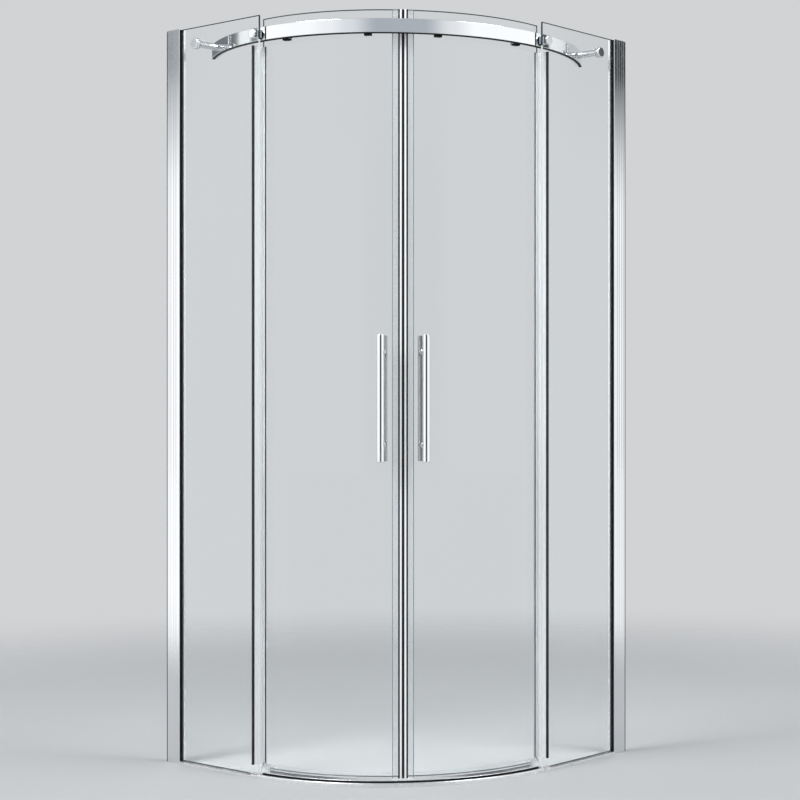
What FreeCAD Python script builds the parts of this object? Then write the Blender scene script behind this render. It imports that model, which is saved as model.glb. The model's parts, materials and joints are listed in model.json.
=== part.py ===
import FreeCAD, Part

import math
import os

from FreeCAD import Vector

# Quarter-round corner shower enclosure. The two walls stand at the left and at the back of the part,
# the rounded front faces +X and -Y, the floor is at z = 0 and the origin is the middle of the footprint.
# Everything is built on the left side and mirrored in the upright plane through the room corner.
# Lengths are in millimetres, angles in degrees.

# Overall sizes
straight = 350.0            # flat part of each side, from the wall to the bend
height = 2000.0             # from the floor to the top of the glass
bend_radius = 550.0         # from the arc centre to the outermost face

# Fixed glass panels
glass_t = 6.0               # all panes
panel_lead = 11.0           # front edge of a panel, past the point where its plane meets the arc
fixing_proud = 12.0         # outermost face, in front of the fixed glass

# Wall profile: a channel on the wall, and a bright profile over it that holds the glass
channel_depth = 22.0
channel_wall = 2.0
channel_play = 0.2
wall_hole_r = 3.0
wall_hole_end = 200.0       # holes, from the floor and from the glass top
profile_wall = 2.0
profile_wall_gap = 1.0      # bright profile, off the wall
profile_adjust = 5.0        # free depth past the channel
profile_lip = 3.0           # thickness of the front lips
profile_lip_reach = 4.6     # how far the lips turn in
glass_entry = 18.0          # how far a panel goes into its profile
gasket_side = 2.4           # gasket between lip and glass
gasket_floor = 5.0          # gasket behind the glass
gasket_show = 0.8           # gasket in front of the lips
cap_t = 2.0                 # top cap of the profile
cap_plug = 8.0
cap_play = 0.3
base_seal_h = 6.0           # strip under a fixed panel
base_seal_foot = 10.0

# Top rail: a curved channel that is open towards the inside
rail_drop = 29.0            # glass top to rail top
rail_h = 36.0
rail_gap = 8.0              # fixed glass to rail, where they run side by side
rail_depth = 18.0
rail_web = 2.5
rail_flange = 3.0
rail_lip = 2.5
rail_top_lip = 6.0
rail_low_lip = 2.5
rail_tail = 47.2            # rail past its stops
rail_cap_t = 2.5
rail_plug = 6.0
stop_len = 20.0             # rubber stop along the rail
stop_play = 0.3

# Fixings that carry the rail on the fixed glass
standoff_inset = 115.0      # rod, from the wall
edge_fix_inset = 23.5       # spacer, from the panel's front edge
rod_r = 9.0
spacer_w = 18.0
cap_r = 15.0
edge_cap_r = 13.0
edge_cap_t = 7.0
stud_r = 4.0
seat_gap = 0.05
fit_gap = 0.1
glass_hole_gap = 0.3        # hole in a pane, around what passes it

# Curved doors
door_rail_gap = 11.0        # door glass to the rail's inner face
door_overlap = 33.0         # door behind the fixed panel
door_wall_clear = 57.0      # open door's outer edge, from the wall
meet_half = 10.8            # glass edge to the plane where the doors meet

# Door seals
seal_wall = 1.2
seal_grip = 17.0            # legs of the meeting seal along the glass
meet_gap = 0.15             # each seal to the meeting plane
magnet_t = 3.2              # dark strip in front of the meeting seal
magnet_extra = 1.0          # magnet past each face of the glass
holder_extra = 2.0          # meeting seal past each face of the glass
edge_grip = 12.0            # legs of the outer edge seal
fin_t = 1.4
fin_gap = 2.5               # fin to the fixed glass
fin_lip_len = 6.5           # soft dark lip at the end of the fin
fin_lip_t = 2.6
seal_under_rail = 10.0
drip_leg = 12.0
drip_floor = 4.0
drip_fin = 6.0
drip_gap = 0.4              # seal to the door glass
trim_gap = 0.5

# Bottom guides and sill
guide_len = 31.0            # along the panel
guide_nose = 1.0            # in front of the panel's edge
guide_base = 4.0
guide_clear = 2.0           # door seal above the guide's base
guide_lip = 3.0             # outside the fixed glass
guide_clamp_in = 6.0        # inside the fixed glass
guide_clamp_h = 10.0
guide_finger = 6.0
guide_grip = 8.0            # fingers beside the door glass
guide_play = 1.8            # fingers to the door seal
sill_proud = 9.0            # outside the fixed glass
sill_w = 23.0
sill_floor = 2.0
sill_nose_w = 6.0
sill_nose_h = 10.0
sill_upstand_t = 2.0
sill_upstand_h = 13.0
sill_end_gap = 0.3

# Handles: a bar outside and a bar inside each door
handle_inset = 54.0         # from the meeting plane
handle_len = 328.0
handle_z = 994.0
handle_r = 10.0
handle_reach = 40.0         # bar centre to glass
post_r = 6.0
post_spacing = 240.0

# Rollers
roller_inner_inset = 88.0   # from the meeting plane
roller_outer_inset = 97.0   # from the door's outer edge
wheel_gap = 0.3             # tyre above its track
wheel_head = 6.3            # free space above a tyre
wheel_side = 2.0            # tyre to the rail's sides
axle_r = 3.0
journal_gap = 0.05
nut_r = 11.0                # to the corners
nut_sides = 6
nut_h = 10.0
nut_seat = 0.4            # flat nut, off the hollow side of the door glass
guard_t = 3.0
guard_w = 18.0
guard_top = 9.0             # above the axle
guard_gap = 1.0             # foot below the rail
guard_foot_h = 4.0
guard_side = 10.0           # foot short of the rail's outer face

overrun = 5.0               # cuts run past their faces

# Places that follow from the sizes above
corner_angle = 45.0
side = straight + bend_radius                           # from each wall to the outermost face
wall_x = -side / 2
half_glass = glass_t / 2
panel_y = -(side / 2 - fixing_proud - half_glass)
arc_x = wall_x + side - bend_radius
arc_y = -arc_x
panel_reach = straight + panel_lead
fixed_r = bend_radius - fixing_proud - half_glass       # middle of the fixed glass, from the arc centre

profile_half = half_glass + gasket_side + profile_lip_reach + profile_wall
profile_slot = half_glass + gasket_side
profile_web = channel_depth + profile_adjust
glass_start = profile_web + profile_wall + gasket_floor
profile_w = glass_start + glass_entry
profile_top = height - cap_t

rail_out = fixed_r - half_glass - rail_gap
rail_in = rail_out - rail_depth
rail_web_in = rail_out - rail_web
rail_lip_out = rail_in + rail_lip
rail_top = height - rail_drop
rail_low = rail_top - rail_h
track_z = rail_low + rail_flange
roof_z = rail_top - rail_flange
fix_z = (rail_low + rail_top) / 2

door_out = rail_in - door_rail_gap
door_in = door_out - glass_t
door_mid = (door_out + door_in) / 2
door_low = guide_base + guide_clear + drip_fin + drip_floor

post_seat = math.sqrt(handle_r ** 2 - post_r ** 2)      # bar centre to its flats
wheel_r = (rail_h - 2 * rail_flange - wheel_gap - wheel_head) / 2
wheel_z = track_z + wheel_gap + wheel_r
wheel_in = rail_lip_out + wheel_side
wheel_out = rail_web_in - wheel_side
wheel_mid = (wheel_in + wheel_out) / 2


def turn(length, radius):
    return math.degrees(length / radius)


meet_angle = turn(meet_half, door_mid)
door_end = corner_angle + math.degrees(math.asin((straight - panel_reach + door_overlap) / door_mid))
door_travel = corner_angle + math.degrees(math.asin((straight - door_wall_clear) / door_mid)) - door_end
handle_angle = turn(handle_inset, door_mid)
roller_angles = {
    "inner": turn(roller_inner_inset, door_mid),
    "outer": door_end - turn(roller_outer_inset, door_mid),
}
stop_angle = roller_angles["outer"] + door_travel + turn(wheel_r + trim_gap, wheel_mid)
stop_end = stop_angle + turn(stop_len, wheel_mid)
rail_end = stop_end + turn(rail_tail, rail_out)

origin = Vector(0, 0, 0)
up = Vector(0, 0, 1)
arc_centre = Vector(arc_x, arc_y, 0)
mirror_normal = Vector(1, 1, 0)
nodes = {}


def add_pair(name, shape):
    nodes["left_" + name] = shape
    nodes["right_" + name] = shape.mirror(origin, mirror_normal)


def group(shapes):
    return Part.makeCompound(shapes)


def with_mirror(shapes):
    return shapes + [shape.mirror(origin, mirror_normal) for shape in shapes]


def joined(shapes):
    return shapes[0].fuse(shapes[1:]).removeSplitter()


def upright(points, low, high):
    # Points are (distance from the left wall, distance outwards from the middle of the left panel)
    corners = [Vector(wall_x + u, panel_y - v, low) for u, v in points]
    return Part.Face(Part.makePolygon(corners + corners[:1])).extrude(Vector(0, 0, high - low))


def block(u0, u1, v0, v1, low, high):
    return upright([(u0, v0), (u1, v0), (u1, v1), (u0, v1)], low, high)


def bent(points, start, end):
    # Points are (radius, height); the angles run from the diagonal towards the left panel
    corners = [arc_centre + Vector(r, 0, z) for r, z in points]
    face = Part.Face(Part.makePolygon(corners + corners[:1]))
    face.rotate(arc_centre, up, -corner_angle - end)
    return face.revolve(arc_centre, up, end - start)


def band(r0, r1, low, high, start, end):
    return bent([(r0, low), (r1, low), (r1, high), (r0, high)], start, end)


def on_arc(angle, radius, z):
    bearing = math.radians(-corner_angle - angle)
    return arc_centre + Vector(radius * math.cos(bearing), radius * math.sin(bearing), z)


def outwards(angle):
    bearing = math.radians(-corner_angle - angle)
    return Vector(math.cos(bearing), math.sin(bearing), 0)


def radial(angle, z, start, end, radius):
    return Part.makeCylinder(radius, end - start, on_arc(angle, start, z), outwards(angle))


def across(u, z, v0, v1, radius):
    # A round bar through the left panel, from v0 out to v1
    return Part.makeCylinder(radius, v1 - v0, Vector(wall_x + u, panel_y - v0, z), Vector(0, -1, 0))


def round_drum(radius):
    return Part.makeCylinder(radius, height, arc_centre, up)


def make_wall_channel():
    half = profile_half - profile_wall - channel_play
    inner = half - channel_wall
    top = profile_top - cap_plug - cap_play
    shape = upright([
        (0, -half), (channel_depth, -half), (channel_depth, -inner), (channel_wall, -inner),
        (channel_wall, inner), (channel_depth, inner), (channel_depth, half), (0, half),
    ], 0, top)
    for z in (wall_hole_end, height - wall_hole_end):
        start = Vector(wall_x - overrun, panel_y, z)
        shape = shape.cut(Part.makeCylinder(wall_hole_r, channel_wall + 2 * overrun, start, Vector(1, 0, 0)))
    return shape


def make_glass_profile():
    inner = profile_half - profile_wall
    web_end = profile_web + profile_wall
    lip = profile_w - profile_lip
    back = [(profile_wall_gap, profile_half), (profile_wall_gap, inner), (profile_web, inner)]
    front = [
        (web_end, inner), (lip, inner), (lip, profile_slot), (profile_w, profile_slot), (profile_w, profile_half),
    ]
    back_half = back + [(u, -v) for u, v in reversed(back)]
    front_half = [(u, -v) for u, v in reversed(front)] + front
    return upright(back_half + front_half, 0, profile_top)


def make_profile_cap():
    inner = profile_half - profile_wall - cap_play
    notch = profile_web + profile_wall
    plate = block(profile_wall_gap, profile_w, -profile_half, profile_half, profile_top, height)
    mouth = block(notch, profile_w + overrun, -profile_slot, profile_slot, profile_top - overrun, height + overrun)
    plug = block(channel_wall, profile_web - cap_play, -inner, inner, profile_top - cap_plug, profile_top)
    return joined([plate.cut(mouth), plug])


def make_glass_gasket():
    bulge = profile_half - profile_wall
    lip = profile_w - profile_lip
    show = profile_w + gasket_show
    outside = [
        (profile_web + profile_wall, bulge), (lip, bulge), (lip, profile_slot), (show, profile_slot),
        (show, half_glass), (glass_start, half_glass),
    ]
    return upright(outside + [(u, -v) for u, v in reversed(outside)], 0, profile_top)


def make_fixed_glass():
    shape = block(glass_start, panel_reach, -half_glass, half_glass, base_seal_h, height)
    for u in fixing_places():
        hole = across(u, fix_z, -half_glass - overrun, half_glass + overrun, stud_r + glass_hole_gap)
        shape = shape.cut(hole)
    return shape


def fixing_places():
    return (standoff_inset, panel_reach - edge_fix_inset)


def make_base_seal():
    start = wall_x + profile_w + gasket_show
    end = wall_x + panel_reach + guide_nose - guide_len - trim_gap
    foot = base_seal_foot / 2
    corners = [
        Vector(start, panel_y + v, z)
        for v, z in ((-foot, 0), (foot, 0), (half_glass, base_seal_h), (-half_glass, base_seal_h))
    ]
    return Part.Face(Part.makePolygon(corners + corners[:1])).extrude(Vector(end - start, 0, 0))


def make_top_rail():
    roof_lip = roof_z - rail_top_lip
    low_lip = track_z + rail_low_lip
    return bent([
        (rail_in, rail_low), (rail_out, rail_low), (rail_out, rail_top), (rail_in, rail_top),
        (rail_in, roof_lip), (rail_lip_out, roof_lip), (rail_lip_out, roof_z), (rail_web_in, roof_z),
        (rail_web_in, track_z), (rail_lip_out, track_z), (rail_lip_out, low_lip), (rail_in, low_lip),
    ], -rail_end, rail_end)


def make_rail_end_cap():
    plate = band(rail_in, rail_out, rail_low, rail_top, rail_end, rail_end + turn(rail_cap_t, rail_out))
    plug = band(
        rail_lip_out + fit_gap, rail_web_in - fit_gap, track_z + fit_gap, roof_z - fit_gap,
        rail_end - turn(rail_plug, rail_out), rail_end,
    )
    return joined([plate, plug])


def make_rail_stop():
    return band(rail_lip_out + stop_play, rail_web_in - stop_play, track_z, roof_z, stop_angle, stop_end)


def make_standoff_rod():
    # A rod from the fixed glass to the rail, seated on the rail's round face, with a stud through the glass
    rod = across(standoff_inset, fix_z, -fixed_r, -half_glass, rod_r).cut(round_drum(rail_out + seat_gap))
    return joined([rod, across(standoff_inset, fix_z, -half_glass, half_glass, stud_r)])


def make_edge_spacer():
    u = panel_reach - edge_fix_inset
    half = spacer_w / 2
    pad = block(u - half, u + half, -fixed_r, -half_glass, fix_z - half, fix_z + half)
    return joined([pad.cut(round_drum(rail_out + seat_gap)), across(u, fix_z, -half_glass, half_glass, stud_r)])


def make_fixing_cap(u, radius, thickness):
    return across(u, fix_z, half_glass, half_glass + thickness, radius)


def make_bottom_sill():
    outer = fixed_r + half_glass + sill_proud
    inner = outer - sill_w
    nose = outer - sill_nose_w
    upstand = inner + sill_upstand_t
    shape = bent([
        (inner, 0), (outer, 0), (outer, sill_nose_h), (nose, sill_nose_h), (nose, sill_floor),
        (upstand, sill_floor), (upstand, sill_upstand_h), (inner, sill_upstand_h),
    ], -corner_angle, corner_angle)
    start = panel_reach + guide_nose + sill_end_gap
    end_cut = block(-side, start, -side, side, -overrun, height)
    return shape.cut(group(with_mirror([end_cut])))


def make_bottom_guide():
    front = panel_reach + guide_nose
    back = front - guide_len
    door_side = door_in - seal_wall - guide_play
    room_side = door_out + drip_gap + seal_wall + guide_play
    finger_top = door_low + guide_grip
    deep = door_side - guide_finger - fixed_r
    clamp = block(back, front, -half_glass - guide_clamp_in, half_glass + guide_lip, 0, guide_clamp_h)
    base = block(back, front, deep, -half_glass, 0, guide_base)
    reach = block(back, front, deep, -half_glass, 0, finger_top)
    sweep = turn(guide_len, door_in)
    fingers = [
        band(r0, r0 + guide_finger, 0, finger_top, corner_angle - sweep, corner_angle + sweep).common(reach)
        for r0 in (door_side - guide_finger, room_side)
    ]
    slot = block(back - overrun, panel_reach, -half_glass, half_glass, base_seal_h, height)
    return joined([clamp, base] + fingers).cut(slot)


def make_door_glass():
    shape = band(door_in, door_out, door_low, height, meet_angle, door_end)
    start = door_in - overrun
    end = door_out + overrun
    holes = [radial(a, wheel_z, start, end, axle_r + glass_hole_gap) for a in roller_angles.values()]
    holes += [radial(handle_angle, z, start, end, post_r + glass_hole_gap) for z in post_heights()]
    return shape.cut(group(holes))


def post_heights():
    return (handle_z - post_spacing / 2, handle_z + post_spacing / 2)


def make_meeting_seal():
    low = door_low - drip_floor
    legs_end = meet_angle + turn(seal_grip, door_mid)
    base_start = meet_angle - turn(seal_wall, door_mid)
    face = turn(meet_gap + magnet_t + seat_gap, door_mid)
    thick = half_glass + holder_extra
    outer_leg = band(door_out + seat_gap, door_out + seal_wall, low, height, base_start, legs_end)
    inner_leg = band(door_in - seal_wall, door_in - seat_gap, low, height, base_start, legs_end)
    holder = band(door_mid - thick, door_mid + thick, low, height, face, meet_angle)
    return joined([holder, outer_leg, inner_leg])


def make_magnet_strip():
    low = door_low - drip_floor
    thick = half_glass + magnet_extra
    start = turn(meet_gap, door_mid)
    return band(door_mid - thick, door_mid + thick, low, height, start, turn(meet_gap + magnet_t, door_mid))


def edge_seal_heights():
    return (door_low + max(drip_leg, guide_grip) + trim_gap, rail_low - seal_under_rail)


def make_edge_seal():
    low, high = edge_seal_heights()
    legs_start = door_end - turn(edge_grip, door_mid)
    base_end = door_end + turn(fin_t, door_mid)
    tip = fixed_r - half_glass - fin_gap - fin_lip_len - seat_gap
    outer_leg = band(door_out + seat_gap, door_out + seal_wall, low, high, legs_start, base_end)
    inner_leg = band(door_in - seal_wall, door_in - seat_gap, low, high, legs_start, base_end)
    fin = band(door_in - seal_wall, tip, low, high, door_end, base_end)
    return joined([fin, outer_leg, inner_leg])


def make_edge_lip():
    low, high = edge_seal_heights()
    tip = fixed_r - half_glass - fin_gap
    middle = door_end + turn(fin_t / 2, door_mid)
    half = turn(fin_lip_t / 2, tip)
    return band(tip - fin_lip_len, tip, low, high, middle - half, middle + half)


def make_drip_seal():
    seat = door_low - drip_gap
    face = door_out + drip_gap
    under = door_low - drip_floor
    top = door_low + drip_leg
    start = meet_angle + turn(seal_grip + trim_gap, door_mid)
    return bent([
        (door_in, seat), (door_in, under), (face, under - drip_fin), (face + seal_wall, under - drip_fin),
        (face + seal_wall, top), (face, top), (face, seat),
    ], start, door_end)


def make_handle_bar(radius, inwards):
    # The bar has a flat for each post; inwards is 1 where the glass lies on the arc centre's side of the bar
    low = handle_z - handle_len / 2
    bar = Part.makeCylinder(handle_r, handle_len, on_arc(handle_angle, radius, low), up)
    way = outwards(handle_angle) * -inwards
    across_way = way.cross(up) * handle_r
    for z in post_heights():
        seat = on_arc(handle_angle, radius, z - post_r) + way * post_seat
        corners = [seat - across_way, seat + across_way, seat + across_way + way * handle_r, seat - across_way + way * handle_r]
        flat = Part.Face(Part.makePolygon(corners + corners[:1])).extrude(up * (2 * post_r))
        bar = bar.cut(flat)
    return bar


def make_handle_posts():
    start = door_in - handle_reach + post_seat
    end = door_out + handle_reach - post_seat
    return group([radial(handle_angle, z, start, end, post_r) for z in post_heights()])


def make_roller_nuts():
    nuts = []
    sixth = 2 * math.pi / nut_sides
    for angle in roller_angles.values():
        middle = on_arc(angle, door_in - nut_seat - nut_h, wheel_z)
        across_way = outwards(angle).cross(up)
        corners = [
            middle + across_way * (nut_r * math.cos(k * sixth)) + up * (nut_r * math.sin(k * sixth))
            for k in range(nut_sides)
        ]
        nuts.append(Part.Face(Part.makePolygon(corners + corners[:1])).extrude(outwards(angle) * nut_h))
    return group(nuts)


def make_roller_hangers():
    # An axle through the door glass, on a plate whose foot reaches under the rail and stops the door lifting off
    hangers = []
    foot_top = rail_low - guard_gap
    foot_low = foot_top - guard_foot_h
    reach = rail_out - guard_side - door_out
    outline = [
        (0, foot_low), (reach, foot_low), (reach, foot_top), (guard_t, foot_top),
        (guard_t, wheel_z + guard_top), (0, wheel_z + guard_top),
    ]
    for angle in roller_angles.values():
        across_way = outwards(angle).cross(up)
        start = on_arc(angle, door_out, 0) - across_way * (guard_w / 2)
        corners = [start + outwards(angle) * r + up * z for r, z in outline]
        plate = Part.Face(Part.makePolygon(corners + corners[:1])).extrude(across_way * guard_w)
        hangers.append(joined([plate, radial(angle, wheel_z, door_in - nut_seat, wheel_out, axle_r)]))
    return group(hangers)


def make_roller(angle):
    wheel = radial(angle, wheel_z, wheel_in, wheel_out, wheel_r)
    return wheel.cut(radial(angle, wheel_z, wheel_in - overrun, wheel_out + overrun, axle_r + journal_gap))


# Pieces that stay on the walls
add_pair("wall_channel", make_wall_channel())
add_pair("glass_profile", make_glass_profile())
add_pair("profile_cap", make_profile_cap())
add_pair("glass_gasket", make_glass_gasket())
add_pair("fixed_glass", make_fixed_glass())
add_pair("base_seal", make_base_seal())
nodes["top_rail"] = make_top_rail()
add_pair("rail_end_cap", make_rail_end_cap())
nodes["rail_stops"] = group(with_mirror([make_rail_stop()]))
wall_fixing, edge_fixing = fixing_places()
nodes["standoff_rods"] = group(with_mirror([make_standoff_rod()]))
nodes["standoff_caps"] = group(with_mirror([make_fixing_cap(wall_fixing, cap_r, fixing_proud)]))
nodes["edge_spacers"] = group(with_mirror([make_edge_spacer()]))
nodes["edge_caps"] = group(with_mirror([make_fixing_cap(edge_fixing, edge_cap_r, edge_cap_t)]))
nodes["bottom_sill"] = make_bottom_sill()
add_pair("bottom_guide", make_bottom_guide())

# Pieces that slide with a door
add_pair("door_glass", make_door_glass())
add_pair("meeting_seal", make_meeting_seal())
add_pair("magnet_strip", make_magnet_strip())
add_pair("edge_seal", make_edge_seal())
add_pair("edge_lip", make_edge_lip())
add_pair("drip_seal", make_drip_seal())
add_pair("outer_handle", make_handle_bar(door_out + handle_reach, 1))
add_pair("inner_handle", make_handle_bar(door_in - handle_reach, -1))
add_pair("handle_posts", make_handle_posts())
add_pair("roller_hangers", make_roller_hangers())
add_pair("roller_nuts", make_roller_nuts())

# Pieces that roll on the rail
for place, place_angle in roller_angles.items():
    add_pair(place + "_roller_wheel", make_roller(place_angle))

os.makedirs("parts", exist_ok=True)
for node, node_shape in nodes.items():
    node_shape.exportStep(os.path.join("parts", node + ".step"))

print(len(nodes), "nodes; arc centre", round(arc_x, 3), round(arc_y, 3))
print("door ends at", round(door_end, 3), "rollers at", {k: round(a, 3) for k, a in roller_angles.items()})
print("wheel height", round(wheel_z, 3), "radius", round(wheel_r, 3), "on the track at", round(wheel_mid, 3))
print("door travel", round(door_travel, 3))
print("stops at", round(stop_angle, 3), "rail ends at", round(rail_end, 3), "handles at", round(handle_angle, 3))
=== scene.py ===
import json
import math

import bmesh
import bpy
from mathutils import Matrix, Vector


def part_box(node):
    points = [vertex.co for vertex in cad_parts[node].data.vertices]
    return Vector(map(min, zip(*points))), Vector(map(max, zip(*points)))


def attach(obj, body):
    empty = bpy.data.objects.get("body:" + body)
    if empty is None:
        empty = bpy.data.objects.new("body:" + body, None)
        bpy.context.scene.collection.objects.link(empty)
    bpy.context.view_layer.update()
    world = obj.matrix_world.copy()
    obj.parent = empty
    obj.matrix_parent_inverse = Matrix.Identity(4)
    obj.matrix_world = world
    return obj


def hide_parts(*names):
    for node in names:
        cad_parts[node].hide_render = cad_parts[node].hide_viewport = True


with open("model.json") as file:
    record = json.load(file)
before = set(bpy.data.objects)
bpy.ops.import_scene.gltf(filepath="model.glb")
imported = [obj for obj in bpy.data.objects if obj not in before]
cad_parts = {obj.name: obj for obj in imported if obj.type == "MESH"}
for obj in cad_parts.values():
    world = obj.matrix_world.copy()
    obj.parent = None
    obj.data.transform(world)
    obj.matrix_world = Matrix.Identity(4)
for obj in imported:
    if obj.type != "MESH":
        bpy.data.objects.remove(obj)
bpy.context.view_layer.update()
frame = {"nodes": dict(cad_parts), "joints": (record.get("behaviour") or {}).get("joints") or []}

nodes = frame["nodes"]
joints = {joint["name"]: joint for joint in frame["joints"]}
sides = ("left", "right")
upWay = Vector((0, 0, 1))
arcCentre = Vector(joints["left_door_slide"]["pos_m"])
arcCentre.z = 0
diagonal = -45.0                    # bearing of the line that the doors meet on, in degrees
swapHalves = Matrix(((0, -1, 0, 0), (-1, 0, 0, 0), (0, 0, 1, 0), (0, 0, 0, 1)))
print("frame loaded:", len(nodes), "nodes")


# Small helpers for places and meshes

meshing = {"flatGap": 0.0003, "flatLeast": 0.0012, "onAxis": 1e-7, "weld": 0.000001, "sharpAngle": 32}
bowTurns = (0, 0.4, 0.8, 1.2, math.pi / 2)      # steps round an edge, in radians


def mirrored(v):
    return Vector((-v.y, -v.x, v.z))    # swaps the left and right halves


def sideLoop(side, loop):
    # a 2-D outline of the left half, swapped over for the right one
    return loop if side == "left" else [(-y, -x) for x, y in loop]


def bearing(side, angle):
    return math.radians(diagonal - angle if side == "left" else diagonal + angle)


def outWay(side, angle):
    b = bearing(side, angle)
    return Vector((math.cos(b), math.sin(b), 0))


def onArc(side, angle, radius, z):
    return arcCentre + outWay(side, angle) * radius + upWay * z


def rectangle(r0, r1, low, high):
    return [(r0, low), (r1, low), (r1, high), (r0, high)]


def roundLoop(points, radii, steps):
    # rounds the corners of a closed 2-D outline; a radius of 0 keeps the corner sharp
    loop = []
    count = len(points)
    for k, radius in enumerate(radii):
        here, before, after = Vector(points[k]), Vector(points[k - 1]), Vector(points[(k + 1) % count])
        if radius <= 0:
            loop.append(here)
            continue
        a, b = (before - here).normalized(), (after - here).normalized()
        half = a.angle(b) / 2
        reach = radius / math.tan(half)
        middle = here + (a + b).normalized() * (radius / math.sin(half))
        start, end = here + a * reach - middle, here + b * reach - middle
        turn = math.atan2(start.x * end.y - start.y * end.x, start.dot(end))
        for s in range(steps + 1):
            c, d = math.cos(turn * s / steps), math.sin(turn * s / steps)
            loop.append(middle + Vector((start.x * c - start.y * d, start.x * d + start.y * c)))
    return loop


def roundCorners(corners, steps):
    # corners are (across, up, rounding)
    return roundLoop([(u, v) for u, v, c in corners], [c for u, v, c in corners], steps)


def supported(points, closed):
    # adds a point close to each end of every long step, so that flats stay flat beside rounded edges
    out = []
    count = len(points)
    for k in range(count if closed else count - 1):
        a, b = Vector(points[k]), Vector(points[(k + 1) % count])
        out.append(a)
        if (b - a).length > meshing["flatLeast"]:
            step = (b - a).normalized() * meshing["flatGap"]
            out += [a + step, b - step]
    return out if closed else out + [Vector(points[-1])]


def keepMesh(bm, name):
    mesh = bpy.data.meshes.new(name)
    bm.to_mesh(mesh)
    bm.free()
    return mesh


def smoothMesh(mesh, degrees=meshing["sharpAngle"]):
    for face in mesh.polygons:
        face.use_smooth = True
    mesh.set_sharp_from_angle(angle=math.radians(degrees))
    return mesh


def turnedMesh(name, outline, steps):
    # turns an outline of (radius, height) about Z; the ends with radius 0 are closed to a point
    bm = bmesh.new()
    turns = [2 * math.pi * k / steps for k in range(steps)]
    rings = []
    for radius, z in supported(outline, outline[0][0] > 0):
        if radius < meshing["onAxis"]:
            rings.append([bm.verts.new((0, 0, z))])
        else:
            rings.append([bm.verts.new((radius * math.cos(t), radius * math.sin(t), z)) for t in turns])
    pairs = list(zip(rings, rings[1:]))
    if len(rings[0]) > 1:               # an outline off the axis is a ring, closed on itself
        pairs.append((rings[-1], rings[0]))
    for low, high in pairs:
        for k in range(steps):
            n = (k + 1) % steps
            if len(low) == 1:
                bm.faces.new((low[0], high[n], high[k]))
            elif len(high) == 1:
                bm.faces.new((low[k], low[n], high[0]))
            else:
                bm.faces.new((low[k], low[n], high[n], high[k]))
    bmesh.ops.recalc_face_normals(bm, faces=bm.faces)
    return smoothMesh(keepMesh(bm, name))


def bothEnds(half):
    # an outline that is the same on both sides of its middle, from one half of it
    return [(r, -h) for r, h in half] + list(reversed(half))


def joinMeshes(name, meshes):
    bm = bmesh.new()
    for part in meshes:
        bm.from_mesh(part)
    mesh = keepMesh(bm, name)
    mesh.materials.append(meshes[0].materials[0])
    return smoothMesh(mesh)


def addObject(name, data):
    obj = bpy.data.objects.new(name, data)
    bpy.context.scene.collection.objects.link(obj)
    return obj


def addPiece(name, mesh, body, stands=()):
    obj = addObject(name, mesh)
    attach(obj, body)
    if stands:
        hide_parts(*stands)


def joinPiece(name, meshes, body):
    addPiece(name, joinMeshes(name, meshes), body)


# Shader groups shared by several finishes

def newGroup(name, inputs, output, outputKind):
    # inputs are numbers, or colours of four values
    group = bpy.data.node_groups.new(name, "ShaderNodeTree")
    for label, value in inputs.items():
        kind = "NodeSocketColor" if isinstance(value, tuple) else "NodeSocketFloat"
        group.interface.new_socket(name=label, in_out="INPUT", socket_type=kind).default_value = value
    group.interface.new_socket(name=output, in_out="OUTPUT", socket_type=outputKind)
    return group, group.nodes.new("NodeGroupInput"), group.nodes.new("NodeGroupOutput")


def addNode(tree, kind, links=None, **values):
    node = tree.nodes.new(kind)
    for key, value in values.items():
        setattr(node, key, value)
    for socket, source in (links or {}).items():
        if isinstance(source, bpy.types.NodeSocket):
            tree.links.new(source, node.inputs[socket])
        else:
            node.inputs[socket].default_value = source
    return node


def nodeOf(tree, kind):
    return next(node for node in tree.nodes if node.type == kind)


def calc(tree, operation, a, b):
    return addNode(tree, "ShaderNodeMath", {0: a, 1: b}, operation=operation).outputs[0]


def mapRange(tree, value, low, high, bottom=0.0, top=1.0, kind="LINEAR"):
    return addNode(tree, "ShaderNodeMapRange", {
        0: value, 1: low, 2: high, 3: bottom, 4: top}, interpolation_type=kind).outputs[0]


def mixTones(tree, share, toneA, toneB):
    return addNode(tree, "ShaderNodeMix", {0: share, 6: toneA, 7: toneB}, data_type="RGBA").outputs[2]


def noiseMask(tree, place, scale, detail, roughness=0.5):
    return addNode(tree, "ShaderNodeTexNoise", {
        "Vector": place, "Scale": scale, "Detail": detail, "Roughness": roughness}).outputs["Fac"]


def stretchedPlace(tree, place, acrossBy, alongBy):
    # X and Y times one number, Z times another
    parts = addNode(tree, "ShaderNodeSeparateXYZ", {0: place})
    times = (("X", acrossBy), ("Y", acrossBy), ("Z", alongBy))
    scaled = [calc(tree, "MULTIPLY", parts.outputs[axis], by) for axis, by in times]
    return addNode(tree, "ShaderNodeCombineXYZ", dict(enumerate(scaled))).outputs[0]


smear = {"detail": 5.0, "roughness": 0.62, "fineTimes": 14.0, "fineDetail": 3.0, "least": 0.12, "most": 0.42}


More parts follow.
